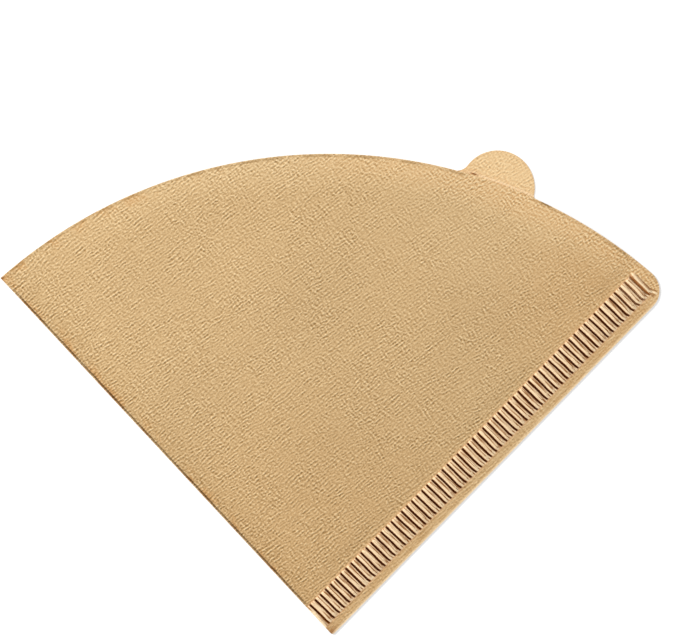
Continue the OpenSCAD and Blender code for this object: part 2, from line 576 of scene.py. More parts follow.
@dataclass
class FilterSheet:
    """The folded sheet's closed surface: crimped seam, bowed front ply, folded edge, back ply with tab, and pocket.

    Lengths are in millimetres and angles in degrees. Shares of rows say that every second or eighth station along
    the seam has one, and other shares run from 0 to 1 across their own part.
    """

    sizes: SheetSizes = field(default_factory=SheetSizes)
    relief: CrepeRelief = field(default_factory=CrepeRelief)
    name: str = "filter_paper_sheet"
    steps_per_rib: int = 8
    front_share: int = 2
    back_share: int = 8
    band_back_share: int = 2
    front_columns: int = 236
    rim_steps: tuple[int, int] = (14, 44)
    foot_steps: tuple[int, int] = (6, 10)
    tab_steps: int = 30
    tip_shares: tuple[float, ...] = (0.0, 0.2, 0.55)
    margin_steps: int = 3
    rib_end_steps: int = 5
    rib_mid_steps: int = 6
    land_share: float = 0.55
    crease_shares: tuple[float, ...] = (0.3, 0.6, 0.85, 1.0)
    fold_steps: int = 6
    pocket_shares: tuple[float, ...] = (0.12, 0.3, 0.5, 0.7, 0.85)
    mouth_share: float = 0.9
    mouth_steps: int = 9
    knee: float = 2.0
    relief_fade: float = 4.0
    first_rib_cut: tuple[float, float] = (0.02, 0.22)
    sharp_angle: float = 52.0

    def __post_init__(self) -> None:
        """Works out the plan and the stations along the seam and across it."""
        self.plan = SheetPlan(self.sizes)
        self.stations = self._stations()
        self.insets = self._insets()
        reach = self.stations[-1] - self.stations[0]
        self.shares = (self.stations - self.stations[0]) / reach

    def _stations(self) -> Array:
        """Places along the seam at which the surface has rows.

        They start at the pocket's tip, follow every rib with the same number of steps, and end with one more rib's
        number of steps from the last rib to the rim.

        Returns:
            Distances along the seam, in millimetres.
        """
        s, n = self.sizes, self.steps_per_rib
        first_groove = s.rib_start + s.rib_pitch / 2
        ribs = first_groove + s.rib_pitch / n * np.arange((s.rib_count - 1) * n + 1)
        end = float(self.plan.seam_reach(np.array(s.seam_w)))
        tail = np.linspace(ribs[-1], end, n + 1)[1:]
        stations = np.concatenate([ribs, tail])
        stations[0] = self.plan.pocket_tip[0]
        return stations

    def _insets(self) -> Array:
        """Distances from the seam edge at which the seam has columns, closest together round the ribs' ends.

        Returns:
            Distances, in millimetres, up to part of the way over the plain strip beside the pocket.
        """
        s = self.sizes
        low, high = s.seam_margin, s.seam_margin + s.rib_len
        bend = s.rib_w / 2 * (1 - np.cos(np.linspace(0.0, math.pi / 2, self.rib_end_steps + 1)))
        tip = s.tip_r * np.array(self.tip_shares)
        margin = np.linspace(s.tip_r, low, self.margin_steps + 1)[:-1]
        middle = np.linspace(low + s.rib_w / 2, high - s.rib_w / 2, self.rib_mid_steps + 1)[1:-1]
        land = [high + s.seam_land * self.land_share]
        return np.concatenate([tip, margin, low + bend, middle, high - bend[::-1], land])

    def _seam_plan(self, share: int) -> Array:
        """Plan points of the seam: straight rows along the ribs, and the last ones drawn in to the rim and its corner.

        Args:
            share: How many stations apart the rows lie.

        Returns:
            Plan points in rows along the seam and columns across it.
        """
        a, b = self.stations[::share, None], self.insets[None, :]
        end = self.plan.seam_reach(b)
        knee = np.minimum(self.stations[-1 - self.steps_per_rib], end - self.knee)
        drawn = knee + (a - knee) * (end - knee) / (self.stations[-1] - knee)
        return np.stack(np.broadcast_arrays(np.where(a > knee, drawn, a), b), axis=-1)

    def _fan_plan(self, rim: Array, shares: Array) -> Array:
        """Plan points on straight lines from the pocket's tip to a rim, at the same shares of each line.

        Args:
            rim: The rim's plan points.
            shares: Shares of the way to the rim.

        Returns:
            Plan points in rows of one share and columns of one line.
        """
        return self.plan.pocket_tip + shares[:, None, None] * (rim - self.plan.pocket_tip)[None, :, :]

    def _front_lift(self, plan: Array) -> Array:
        """How far the front ply stands above the back ply: its bow, and the paper's unevenness away from its sides.

        Args:
            plan: Plan points.

        Returns:
            Heights, in millimetres.
        """
        s = self.sizes
        beside = np.minimum(plan[..., 1] - s.seam_w, self.plan.inside_fold(plan) - s.crease_w)
        bow = self.plan.bow_height(plan)
        uneven = self.relief.height(self.plan.to_row(plan)) * eased(beside, 0.0, self.relief_fade)
        return np.maximum(bow + uneven, 0.0)

    def _row_points(self, plan: Array, height: Union[float, Array]) -> Array:
        """Plan points and heights in the row frame, in millimetres."""
        return raised(self.plan.to_row(plan), height)

    def _fold_section(self) -> tuple[Array, Array]:
        """The folded edge's section: level to the fold, then half round a circle of one ply's thickness, to below.

        Returns:
            Shares of the way from the sheet to the fold on the level part, and the half round's insets and heights.
        """
        turn = np.linspace(math.pi / 2, -math.pi / 2, self.fold_steps + 1)[1:]
        ply = self.sizes.ply
        return np.array(self.crease_shares), np.stack([-ply * np.cos(turn), ply + ply * np.sin(turn)], axis=-1)

    def build(self) -> bpy.types.Object:
        """Builds the closed surface and puts it in the scene.

        Returns:
            The sheet's object, at the origin.
        """
        s, plan, skin = self.sizes, self.plan, Skin()
        up, down = Winding.KEPT, Winding.TURNED

        # Crimped seam, above and below.
        seam_top = self._seam_plan(1)
        seam_back = self._seam_plan(self.band_back_share)
        band_top = skin.add(self._row_points(seam_top, s.pressed + plan.rib_height(seam_top, 0)))
        band_back = skin.add(self._row_points(seam_back, plan.rib_height(seam_back, 1)))
        skin.quads(band_top, up)
        skin.quads(band_back, down)
        skin.zipped(band_top[:, 0], band_back[:, 0], down)

        # Outer faces of the two plies, as lines from the pocket's tip to the rims.
        front_rim = plan.front_rim(self.front_columns)
        back_rim = plan.back_rim(self.rim_steps, self.foot_steps, self.tab_steps)
        front_shares = self.shares[:: self.front_share]
        back_shares = self.shares[:: self.back_share]
        front_plan = self._fan_plan(front_rim, front_shares[1:])
        back_plan = self._fan_plan(back_rim, back_shares[1:])
        top_tip, under_tip, inner_tip = (
            int(skin.add(self._row_points(plan.pocket_tip, level))) for level in (s.pressed, 0.0, s.ply)
        )
        front = skin.add(self._row_points(front_plan, s.pressed + self._front_lift(front_plan)))
        back = skin.add(self._row_points(back_plan, 0.0))
        for tip, ply, side in ((top_tip, front, up), (under_tip, back, down)):
            skin.fan(tip, ply[0], side)
            skin.quads(ply, side)
        front_seam, front_fold = (np.concatenate([[top_tip], front[:, column]]) for column in (0, -1))
        back_seam, back_fold = (np.concatenate([[under_tip], back[:, column]]) for column in (0, -1))
        skin.zipped(band_top[:, -1], front_seam, up)
        skin.zipped(band_back[:, -1], back_seam, down)

        # Folded edge, from the front ply round to the back ply.
        level, half_round = self._fold_section()
        insets = np.concatenate([s.crease_w * (1 - level), half_round[:, 0]])
        heights = np.concatenate([np.full(len(level), s.pressed), half_round[:, 1]])
        start = plan.pocket_tip @ plan.fold_dir
        along = start + front_shares[:, None] * (plan.rim_reach(insets) - start)[None, :]
        edge_plan = plan.on_fold_line(np.broadcast_to(insets, along.shape), along)
        edge = skin.add(self._row_points(edge_plan, heights))
        skin.quads(np.concatenate([front_fold[:, None], edge], axis=1), up)
        skin.zipped(edge[:, -1], back_fold, up)

        # The seam's short start beside the fold, below the pocket.
        inner = plan.inside_fold(np.stack(np.broadcast_arrays(plan.pocket_tip[0], self.insets), axis=-1))
        tip_insets = np.concatenate(
            [inner[:, None] * (1 - level)[None, :], np.broadcast_to(half_round[:, 0], (len(inner), len(half_round)))],
            axis=1,
        )
        tip_b = np.broadcast_to(self.insets[:, None], tip_insets.shape)
        tip_a = (tip_insets + tip_b * plan.fold_dir[0]) / plan.fold_in[0]
        tip_plan = plan.rounded_tip(np.stack([tip_a, tip_b], axis=-1))
        cut = eased(tip_insets, *self.first_rib_cut)
        tip_points = self._row_points(tip_plan, heights + plan.rib_height(tip_plan, 0) * cut)
        tip = skin.add(tip_points)
        tip = np.concatenate([band_top[0][:, None], tip, band_back[0][:, None]], axis=1)
        closing = np.concatenate([[top_tip], edge[0], [under_tip]])
        skin.quads(np.concatenate([tip, closing[None, :]]), up)
        skin.fan(int(band_back[0, 0]), tip[0][:-1], up)

        # Inside of the pocket.
        shares = np.concatenate([self.pocket_shares, np.linspace(self.mouth_share, 1.0, self.mouth_steps + 1)])
        ceiling_plan = self._fan_plan(front_rim, shares)
        floor_plan = self._fan_plan(back_rim, shares)
        ceiling = skin.add(self._row_points(ceiling_plan, s.ply + self._front_lift(ceiling_plan)))
        floor_inner = skin.add(self._row_points(floor_plan[:, 1:-1], s.ply))
        floor = np.concatenate([ceiling[:, :1], floor_inner, ceiling[:, -1:]], axis=1)
        for ply, side in ((ceiling, down), (floor, up)):
            skin.fan(inner_tip, ply[0], side)
            skin.quads(ply, side)

        # Cut edges along the rim.
        skin.quads(np.stack([front[-1], ceiling[-1]]), up)
        skin.quads(np.stack([floor[-1], back[-1]]), up)
        skin.quads(np.stack([band_top[-1], band_back[-1]]), up)
        seam_corner = np.array([band_top[-1, -1], front[-1, 0], ceiling[-1, 0], back[-1, 0]])
        skin.fan(int(band_back[-1, -1]), seam_corner, down)
        fold_corner = np.concatenate([[front[-1, -1]], edge[-1], [back[-1, -1]]])
        skin.fan(int(ceiling[-1, -1]), fold_corner, down)

        mesh = skin.mesh(self.name)
        mesh.polygons.foreach_set("use_smooth", np.ones(len(mesh.polygons), bool))
        mesh.set_sharp_from_angle(angle=math.radians(self.sharp_angle))
        return placed(self.name, mesh)

    def dress(self, sheet: bpy.types.Object, finish: "CrepePaper") -> None:
        """Gives the sheet its paper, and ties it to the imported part.

        Args:
            sheet: The sheet's object.
            finish: Its paper.
        """
        sheet.data.materials.append(finish.material(self.plan))
        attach(sheet, BODY)
        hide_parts(NODE)


Plug = Union["Value", Socket, float, Sequence[float]]


class Shader:
    """Adds nodes to one node tree and links them."""

    # A Mix node's sockets when it mixes colours: the share, the colour below, the one above and the outcome.
    MIX_SHARE, MIX_BELOW, MIX_ABOVE, MIX_OUT = 0, 6, 7, 2

    def __init__(self, tree: bpy.types.NodeTree) -> None:
        """Starts from an empty tree.

        Args:
            tree: The material's or the world's tree.
        """
        self.tree = tree
        tree.nodes.clear()

    def node(
        self,
        kind: str,
        settings: Optional[Mapping[str, Any]] = None,
        inputs: Optional[Mapping[Union[int, str], Plug]] = None,
    ) -> bpy.types.Node:
        """Adds a node, sets it and then fills its sockets.

        Args:
            kind: The node's type.
            settings: Its settings, such as a Math node's operation.
            inputs: Values or links, by socket name or number.

        Returns:
            The node.
        """
        node = self.tree.nodes.new(kind)
        for name, value in (settings or {}).items():
            setattr(node, name, value)
        for key, value in (inputs or {}).items():
            source = value.socket if isinstance(value, Value) else value
            if isinstance(source, Socket):
                self.tree.links.new(source, node.inputs[key])
            else:
                node.inputs[key].default_value = source
        return node

    def value(self, kind: str, output: Union[int, str], **parts: Any) -> "Value":
        """Adds a node and wraps one of its outputs.

        Args:
            kind: The node's type.
            output: The output's name or number.
            **parts: The settings and inputs, as node() takes them.

        Returns:
            The wrapped output.
        """
        return Value(self, self.node(kind, **parts).outputs[output])

    def blend(self, base: Plug, over: Plug, share: Plug) -> Socket:
        """Blends one colour over another.

        Args:
            base: The colour below.
            over: The colour above.
            share: How much of it shows, from 0 to 1.

        Returns:
            The blended colour's socket.
        """
        below, above = (c if isinstance(c, Socket) else (*c, 1.0) for c in (base, over))
        settings = {"data_type": "RGBA", "blend_type": "MIX", "clamp_factor": True}
        inputs = {self.MIX_SHARE: share, self.MIX_BELOW: below, self.MIX_ABOVE: above}
        return self.node("ShaderNodeMix", settings, inputs).outputs[self.MIX_OUT]

    def paint(self, colour: Plug, coats: Sequence[tuple[Colour, Plug]]) -> Socket:
        """Lays coats over a colour, one after another.

        Args:
            colour: The colour below.
            coats: Each coat's colour, and how much of it shows.

        Returns:
            The colour on top.
        """
        for coat, share in coats:
            colour = self.blend(colour, coat, share)
        return colour


class Value:
    """A shader's number, which arithmetic is written with."""

    def __init__(self, shader: Shader, socket: Socket) -> None:
        """Wraps an output.

        Args:
            shader: The shader that it belongs to.
            socket: The output.
        """
        self.shader = shader
        self.socket = socket

    def _math(self, operation: str, *values: Plug) -> "Value":
        """Adds a Math node on these values."""
        inputs = dict(enumerate(values))
        return self.shader.value("ShaderNodeMath", 0, settings={"operation": operation}, inputs=inputs)

    def __add__(self, other: Plug) -> "Value":
        """self + other."""
        return self._math("ADD", self, other)

    __radd__ = __add__

    def __sub__(self, other: Plug) -> "Value":
        """self - other."""
        return self._math("SUBTRACT", self, other)

    def __rsub__(self, other: Plug) -> "Value":
        """other - self."""
        return self._math("SUBTRACT", other, self)

    def __mul__(self, other: Plug) -> "Value":
        """self * other."""
        return self._math("MULTIPLY", self, other)

    __rmul__ = __mul__

    def __truediv__(self, other: Plug) -> "Value":
        """self / other."""
        return self._math("DIVIDE", self, other)

    def __rtruediv__(self, other: Plug) -> "Value":
        """other / self."""
        return self._math("DIVIDE", other, self)

    def __abs__(self) -> "Value":
        """The value without its sign."""
        return self._math("ABSOLUTE", self)

    def nearest(self) -> "Value":
        """The nearest whole number."""
        return self._math("ROUND", self)

    def same(self, whole: int) -> "Value":
        """1 where a whole number lies within a half of this one, and 0 where it is another."""
        return self._math("COMPARE", self, whole, MIDDLE)

    def over(self) -> "Value":
        """The value where it is above zero, and zero elsewhere."""
        return self.most(0.0)

    def under(self) -> "Value":
        """How far the value lies below zero, and zero elsewhere."""
        return (0.0 - self).most(0.0)

    def hypot(self, other: "Value") -> "Value":
        """The root of the two values' squares added up."""
        return self._math("SQRT", self * self + other * other)

    def most(self, other: Plug) -> "Value":
        """The greater of two values."""
        return self._math("MAXIMUM", self, other)

    def step(self, low: float, high: float, top: float = 1.0) -> "Value":
        """A smooth step from 0 at low to the top at high, either way round.

        Args:
            low: Where the step starts.
            high: Where it ends.
            top: What it reaches there.

        Returns:
            A value from 0 to the top.
        """
        inputs = {"Value": self, "From Min": low, "From Max": high, "To Min": 0.0, "To Max": top}
        settings = {"interpolation_type": "SMOOTHSTEP"}
        return self.shader.value("ShaderNodeMapRange", 0, settings=settings, inputs=inputs)


@dataclass(frozen=True)
class Strokes:
    """One layer of noise drawn out along a direction, as fibres are, in millimetres and degrees."""

    angle: float
    length: float
    gap: float
    detail: float = 2.0
    roughness: float = 0.5
    distortion: float = 0.0

    def value(self, shader: Shader, place: Socket) -> Value:
        """Adds the noise, on coordinates turned to the strokes and measured in strokes.

        Args:
            shader: The shader to add it to.
            place: Object coordinates.

        Returns:
            The noise, about one half.
        """
        turn = (0.0, 0.0, math.radians(self.angle))
        scale = (self.length * MM, self.gap * MM, self.gap * MM)
        inputs = {"Vector": place, "Rotation": turn, "Scale": scale}
        mapped = shader.node("ShaderNodeMapping", {"vector_type": "TEXTURE"}, inputs).outputs[0]
        noise = {"Vector": mapped, "Scale": 1.0, "Detail": self.detail, "Roughness": self.roughness}
        return shader.value("ShaderNodeTexNoise", 0, inputs={**noise, "Distortion": self.distortion})


@dataclass(frozen=True)
class Wrinkles:
    """One layer of short wrinkles in small groups, as creping leaves, in millimetres and degrees.

    order says how nearly parallel they are, up to 1, and swing how far they have turned at the sheet's far side.
    """

    angle: float
    spacing: float
    group: float
    order: float
    swing: float = 0.0

    def value(self, shader: Shader, place: Socket, far: Value) -> Value:
        """Adds oriented waves: every group of one size holds as many waves as fit in it at the spacing.

        Args:
            shader: The shader to add it to.
            place: Object coordinates.
            far: How far across the sheet the place is, from 0 to 1.

        Returns:
            The waves, about one half.
        """
        inputs = {
            "Vector": place,
            "Scale": 1.0 / (self.group * MM),
            "Frequency": self.group / self.spacing,
            "Anisotropy": self.order,
            "Orientation": (far * self.swing + self.angle + QUARTER_TURN) * math.radians(1.0),
        }
        return shader.value("ShaderNodeTexGabor", "Value", settings={"gabor_type": "2D"}, inputs=inputs)


@dataclass(frozen=True)
class Fade:
    """A smooth step from nothing at its start to a share at its end, either way round.

    The start and the end are in millimetres for a place on the sheet, and plain numbers for a noise.
    """

    start: float
    end: float
    share: float = 1.0

    def on(self, value: Value) -> Value:
        """The step of a value."""
        return value.step(self.start, self.end, self.share)


@dataclass(frozen=True)
class Stretch:
    """A stretch of values that fades in at one end and out at the other."""

    coming: Fade
    going: Fade

    def on(self, value: Value) -> Value:
        """The two fades of a value, multiplied."""
        return self.coming.on(value) * self.going.on(value)


@dataclass(frozen=True)
class Stripe:
    """A soft-sided line about a middle value: nothing from its outer distance on, and a share within its inner one."""

    middle: float
    outer: float
    inner: float
    share: float = 1.0

    def on(self, value: Value) -> Value:
        """The smooth step of a value's distance from the middle."""
        return abs(value - self.middle).step(self.outer, self.inner, self.share)


@dataclass(frozen=True)
class Slope:
    """A straight line: what is always there, and a gain for each unit of a value."""

    least: float
    gain: float

    def on(self, value: Value) -> Value:
        """least + gain * value."""
        return value * self.gain + self.least


class PaperPlace:
    """Where a shaded point lies on the sheet, in millimetres, from Object coordinates.

    along and inset run along the seam edge and square to it. from_fold, from_rim and from_tip are distances from those
    into the sheet, and in_tab is the distance inside the tab's edge. past_ribs runs out of the ribbed strip at either
    side, past_margin from the margin on, past_seam from the seam on, past_last from the last rib on, and past_pinch
    along the rim from the dark mark by the tab, towards the fold.
    """

    # Where the dark mark lies from the tab's middle, along the rim towards the seam.
    PINCH_ACROSS = -7.0

    def __init__(self, shader: Shader, plan: SheetPlan) -> None:
        """Adds the nodes that turn Object coordinates into the seam's plan.

        Args:
            shader: The shader to add them to.
            plan: The sheet's plan.
        """
        s = plan.sizes
        self.sizes = s
        self.shader = shader
        self.object = shader.node("ShaderNodeTexCoord").outputs["Object"]
        split = shader.node("ShaderNodeSeparateXYZ", inputs={0: self.object})
        x, y = (Value(shader, split.outputs[axis]) / MM - float(plan.tip[axis]) for axis in (0, 1))
        turn = math.radians(plan.seam_turn)
        self.along = x * math.cos(turn) + y * math.sin(turn)
        self.inset = y * math.cos(turn) - x * math.sin(turn)
        self.from_fold = self.along * float(plan.fold_in[0]) + self.inset * float(plan.fold_in[1])
        self.from_rim = s.rim_r - self._away(plan.rim_c)
        self.from_tip = self.along.hypot(self.inset)
        self.in_tab = s.tab_r - self._away(plan.tab_c)
        self.past_margin = self.inset - s.seam_margin
        self.past_seam = self.inset - s.seam_w
        self.past_ribs = abs(self.past_margin - s.rib_len / 2) - s.rib_len / 2
        self.past_last = self.along - s.last_rib
        pinch_shadow, side = plan.by_tab(self.PINCH_ACROSS)
        self.past_pinch = (self.along - pinch_shadow[0]) * side[0] + (self.inset - pinch_shadow[1]) * side[1]

    def _away(self, centre: Array) -> Value:
        """The distance from a plan point."""
        return (self.along - float(centre[0])).hypot(self.inset - float(centre[1]))


@dataclass(frozen=True)
class Spot:
    """An oval mark by the tab, with its half width along the rim, and its middle and half height inside the rim."""

    half_width: float
    middle: float
    half_height: float
    share: float
    core: float = 0.3

    def on(self, at: PaperPlace) -> Value:
        """The smooth step of the distance from the mark's middle, in half widths and half heights."""
        inward = (at.from_rim - self.middle) / self.half_height
        return (at.past_pinch / self.half_width).hypot(inward).step(1.0, self.core, self.share)


@dataclass(frozen=True)
class PaperInks:
    """Colours of unbleached crepe paper and its marks, and of the painted highlights and shading on it, as linear red,
    green and blue.
    """

    paper: Colour = (0.64, 0.43, 0.212)
    # Painted highlight on the wrinkles, and the fibres' and the mottle's paler parts.
    pale: Colour = (0.94, 0.70, 0.40)
    # Dark brown: painted shading between the wrinkles and a painted shadow past the tab, and the bark flecks and the
    # dark line along the rim's cut edge.
    shade_and_fleck: Colour = (0.36, 0.205, 0.075)
    tint: Colour = (0.66, 0.335, 0.115)
    # The tab's paler colour: a painted highlight.
    tab: Colour = (0.98, 0.72, 0.40)
    crest: Colour = (0.72, 0.395, 0.195)
    # Pale buff: painted highlights on the ribs, the rim by the tab and the seam edge, and the pale strands' own colour.
    pale_strand_and_highlight: Colour = (1.0, 0.77, 0.49)
    # Near black: painted shading in the grooves.
    groove: Colour = (0.03, 0.004, 0.0)
    # Red-brown: the fold's and the tip's own wear and the strands' and margin lines' dark parts, and painted shading on
    # the ribs and by the tab.
    brown_wear_and_shade: Colour = (0.27, 0.085, 0.01)
    # Brown along the grooves' sides: painted shading, partly the pressed paper's own browner colour.
    pressed_brown_and_shade: Colour = (0.33, 0.085, 0.0)
    fold_line: Colour = (0.05, 0.022, 0.008)


@dataclass(frozen=True)
class Creping:
    """Long, short and crossing wrinkles with grain, strong in some patches, and faint by the tab and in the crimp."""

    long_wrinkles: Wrinkles = Wrinkles(38.0, 0.93, 1.9, 0.92, -4.0)
    short_wrinkles: Wrinkles = Wrinkles(33.0, 0.74, 1.2, 0.75, -4.0)
    cross_wrinkles: Wrinkles = Wrinkles(-38.0, 1.0, 1.35, 0.72)
    grain: Strokes = Strokes(20.0, 0.46, 0.34, 1.0, 0.5)
    hatching: Strokes = Strokes(-20.0, 8.0, 6.0, 1.0, 0.5)
    wrinkle_range: Fade = Fade(0.1, 0.9)
    grain_range: Fade = Fade(0.28, 0.72)
    hatched: Fade = Fade(0.4, 0.6, 0.5)
    far: Fade = Fade(10.0, 95.0)
    near_tab: Fade = Fade(-45.0, -8.0)
    strength: float = 0.74
    patch_strength: Fade = Fade(0.36, 0.62, 0.3)
    fold_strength: Fade = Fade(30.0, 3.0, 0.16)
    tab_calm: float = 0.17
    margin_calm: Fade = Fade(0.0, -1.0, 0.6)
    pressed_calm: float = 0.75
    crossing: float = 0.12
    far_crossing: float = 0.33
    tab_crossing: float = 0.2
    long_share: Slope = Slope(1.05, -0.35)
    short_share: float = 0.7
    cross_share: Slope = Slope(0.45, 0.8)
    grain_share: float = 0.5

    def height(self, at: PaperPlace, pressed: Value, patches: Value) -> Value:
        """Adds up the layers: where the wrinkles cross, the crossing ones gain and the long ones lose.

        Args:
            at: The place on the sheet.
            pressed: How much the crimp has pressed the paper.
            patches: Noise in broad patches.

        Returns:
            The wrinkles' height, about zero.
        """
        shader, place = at.shader, at.object
        far, by_tab = self.far.on(at.from_fold), self.near_tab.on(at.in_tab)
        long, short, cross = (
            self.wrinkle_range.on(layer.value(shader, place, far)) - MIDDLE
            for layer in (self.long_wrinkles, self.short_wrinkles, self.cross_wrinkles)
        )
        grain = self.grain_range.on(self.grain.value(shader, place)) - MIDDLE
        crossed = far * self.far_crossing + by_tab * self.tab_crossing + self.crossing
        crossed = crossed + self.hatched.on(self.hatching.value(shader, place))
        waves = long * self.long_share.on(crossed) + cross * self.cross_share.on(crossed)
        waves = waves + short * self.short_share + grain * self.grain_share
        strength = self.patch_strength.on(patches) + self.strength + self.fold_strength.on(at.from_fold)
        plain = 1.0 - pressed.most(self.margin_calm.on(at.past_margin)) * self.pressed_calm
        return waves * (strength - by_tab * self.tab_calm) * plain


@dataclass(frozen=True)
class PaperGround:
    """The plain paper: painted highlight on the wrinkles and painted shading between them, mottled, flecked with bark,
    warmer near its edges, paler towards the rim and darker by the fold and the tip.
    """

    mottle: Strokes = Strokes(10.0, 13.0, 11.0, 3.0, 0.6)
    flecks: Strokes = Strokes(70.0, 0.55, 0.3, 2.0, 0.6)
    flecked: Fade = Fade(0.68, 0.8, 0.5)
    # Shares of the wrinkles' painted highlight and shading, and of the fibres' and the mottle's own variation.
    crepe_shading: float = 1.2
    fibre_tone: float = 0.3
    mottle_tone: float = 0.15
    # Paler towards the rim and beside the tab, and darker by the fold and towards the tip.
    paler_by_rim: Fade = Fade(11.0, 0.5)
    paler_across: Fade = Fade(5.0, 80.0, 0.24)
    paler_least: float = 0.06
    paler_by_tab: Fade = Fade(-26.0, -6.0, 0.12)
    darker_by_fold: Fade = Fade(8.0, 0.5, 0.12)
    darker_by_tip: Fade = Fade(110.0, 30.0, 0.08)
    warm_patches: Fade = Fade(0.42, 0.66, 0.7)
    warm_fold: Fade = Fade(3.6, 0.2)
    warm_rim: Fade = Fade(4.0, 0.3)
    warm_rim_reach: Fade = Fade(75.0, 20.0)
    warm_seam: Fade = Fade(2.4, 0.8)
    warm_seam_reach: Fade = Fade(60.0, 110.0, 0.7)
    warm_corner: Fade = Fade(3.2, 0.2)
    warm_corner_share: Slope = Slope(0.35, 1.0)
    warm_tip: Fade = Fade(80.0, 15.0, 0.16)
    warm_far: Fade = Fade(70.0, 116.0)
    warm_far_seam: Fade = Fade(50.0, 12.0, 0.25)
    warm_far_rim: Fade = Fade(9.0, 1.5, 0.46)

    def colour(self, at: PaperPlace, inks: PaperInks, crepe: Value, fibres: Value, warm: Value) -> Socket:
        """Paints the warm parts under the wrinkles' painted highlight and shading, and the flecks over them.

        Args:
            at: The place on the sheet.
            inks: The colours.
            crepe: The wrinkles' height.
            fibres: The fibres, about zero.
            warm: Noise in small patches.

        Returns:
            The colour.
        """
        shader = at.shader
        mottle = self.mottle.value(shader, at.object) - MIDDLE
        # Paler towards the rim and beside the tab, and darker by the fold and towards the tip.
        paler = self.paler_by_rim.on(at.from_rim) * (self.paler_across.on(at.from_fold) + self.paler_least)
        paler = paler + self.paler_by_tab.on(at.in_tab)
        darker = self.darker_by_fold.on(at.from_fold) + self.darker_by_tip.on(at.from_tip)
        # Painted highlight on the wrinkles' crests and painted shading in their troughs, with the fibres' and the
        # mottle's own variation, paler towards the rim and darker by the fold and the tip.
        shading_and_tone = crepe * self.crepe_shading + fibres * self.fibre_tone + mottle * self.mottle_tone + paler - darker
        by_rim = self.warm_rim.on(abs(at.from_rim)) * self.warm_rim_reach.on(at.from_fold)
        by_seam = self.warm_seam.on(at.inset) * self.warm_seam_reach.on(at.along)
        near = self.warm_fold.on(at.from_fold).most(by_rim).most(by_seam) * self.warm_patches.on(warm)
        far = self.warm_far_seam.on(at.inset).most(self.warm_far_rim.on(at.from_rim)) * self.warm_far.on(at.along)
        corner = self.warm_corner.on(at.from_fold) * self.warm_corner.on(at.from_rim)
        tinted = near.most(corner * self.warm_corner_share.on(warm)).most(self.warm_tip.on(at.from_tip)).most(far)
        coats = [
            (inks.tint, tinted),
            (inks.pale, shading_and_tone.over()),
            (inks.shade_and_fleck, shading_and_tone.under()),
            (inks.shade_and_fleck, self.flecked.on(self.flecks.value(shader, at.object))),
        ]
        return shader.paint(inks.paper, coats)


